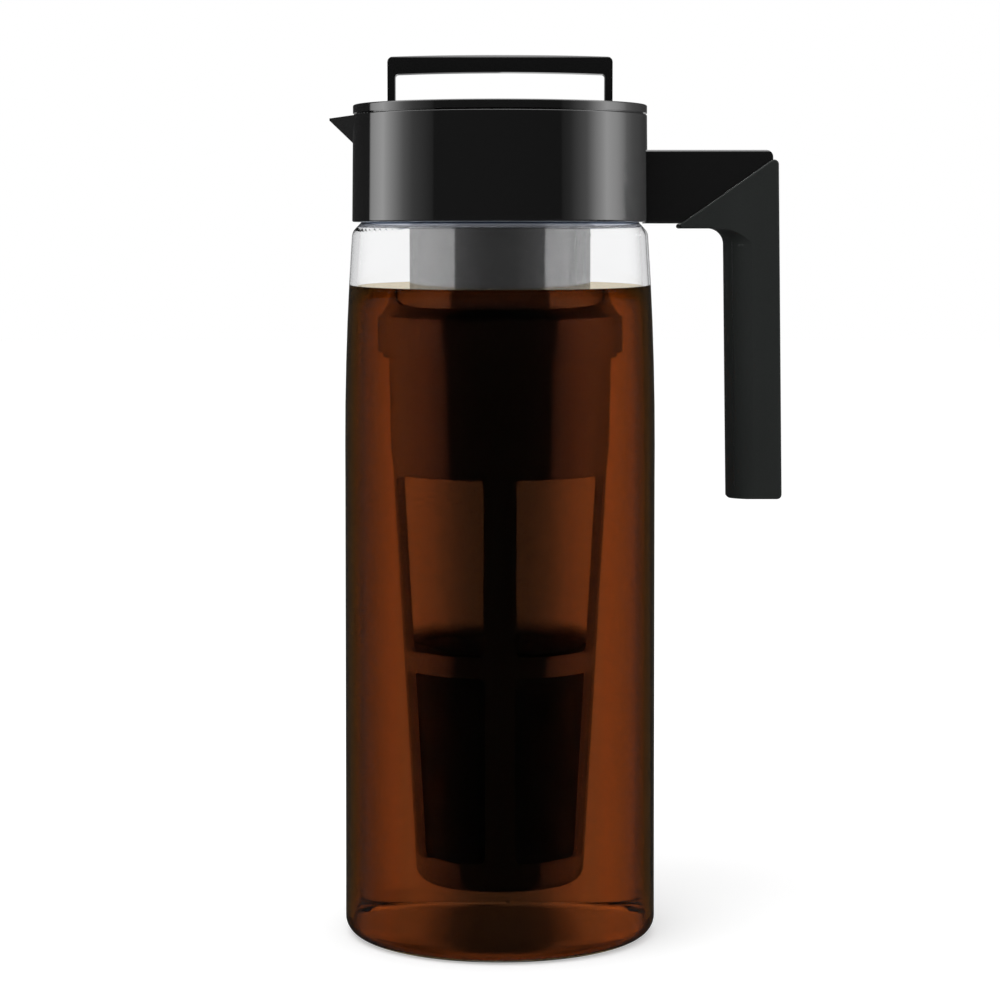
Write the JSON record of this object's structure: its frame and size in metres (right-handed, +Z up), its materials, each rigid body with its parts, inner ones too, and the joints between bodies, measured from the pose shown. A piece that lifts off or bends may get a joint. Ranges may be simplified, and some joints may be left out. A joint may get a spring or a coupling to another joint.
{
  "type": "cold brew coffee maker",
  "caption": "Clear pitcher with a gloss collar, spout and side handle, a twist lid with a folding bail, and a screw-on infuser basket.",
  "frame": {"origin": "centre of the pitcher's base, on the surface it stands on", "axes": "+Z up along the pitcher's axis, +X towards the handle, -X towards the spout"},
  "size_m": [0.1534, 0.1068, 0.3005],
  "materials": {
    "clear_plastic": "clear, glossy",
    "gloss_black": "polished",
    "core_black": "satin",
    "grip_silicone": "matte",
    "seal_silicone": "matte",
    "basket_black": "satin",
    "filter_mesh": "fine woven filter cloth"
  },
  "bodies": {
    "pitcher": {"pitcher_body": "clear_plastic", "collar": "gloss_black", "collar_gasket": "seal_silicone", "handle_core": "core_black", "handle_grip": "grip_silicone"},
    "lid_seal": {"lid_gasket": "seal_silicone"},
    "lid": {"lid_cap": "gloss_black", "lid_plug": "core_black", "infuser_neck": "gloss_black"},
    "bail": {"bail_handle": "gloss_black"},
    "neck_seal": {"neck_gasket": "seal_silicone"},
    "infuser": {"infuser_ring": "basket_black", "basket_frame": "basket_black", "mesh_upper": "filter_mesh", "mesh_lower": "filter_mesh"}
  },
  "joints": [
    {"name": "lid_lift", "type": "slide", "parent": "pitcher", "child": "lid_seal", "axis": [0, 0, 1], "range_m": [0, 0.27]},
    {"name": "lid_turn", "type": "hinge", "parent": "lid_seal", "child": "lid", "pos_m": [0, 0, 0.28], "axis": [0, 0, 1], "range_deg": [0, 90]},
    {"name": "bail_fold", "type": "hinge", "parent": "lid", "child": "bail", "pos_m": [0, 0, 0.2795], "axis": [1, 0, 0], "range_deg": [-90, 90]},
    {"name": "infuser_turn", "type": "hinge", "parent": "lid", "child": "neck_seal", "pos_m": [0, 0, 0.206], "axis": [0, 0, -1], "range_deg": [0, 360]},
    {"name": "infuser_drop", "type": "slide", "parent": "neck_seal", "child": "infuser", "axis": [0, 0, -1], "range_m": [0, 0.01]}
  ],
  "couplings": [
    {"joint": "infuser_drop", "follows": "infuser_turn", "m_per_rad": 0.0015915}
  ]
}
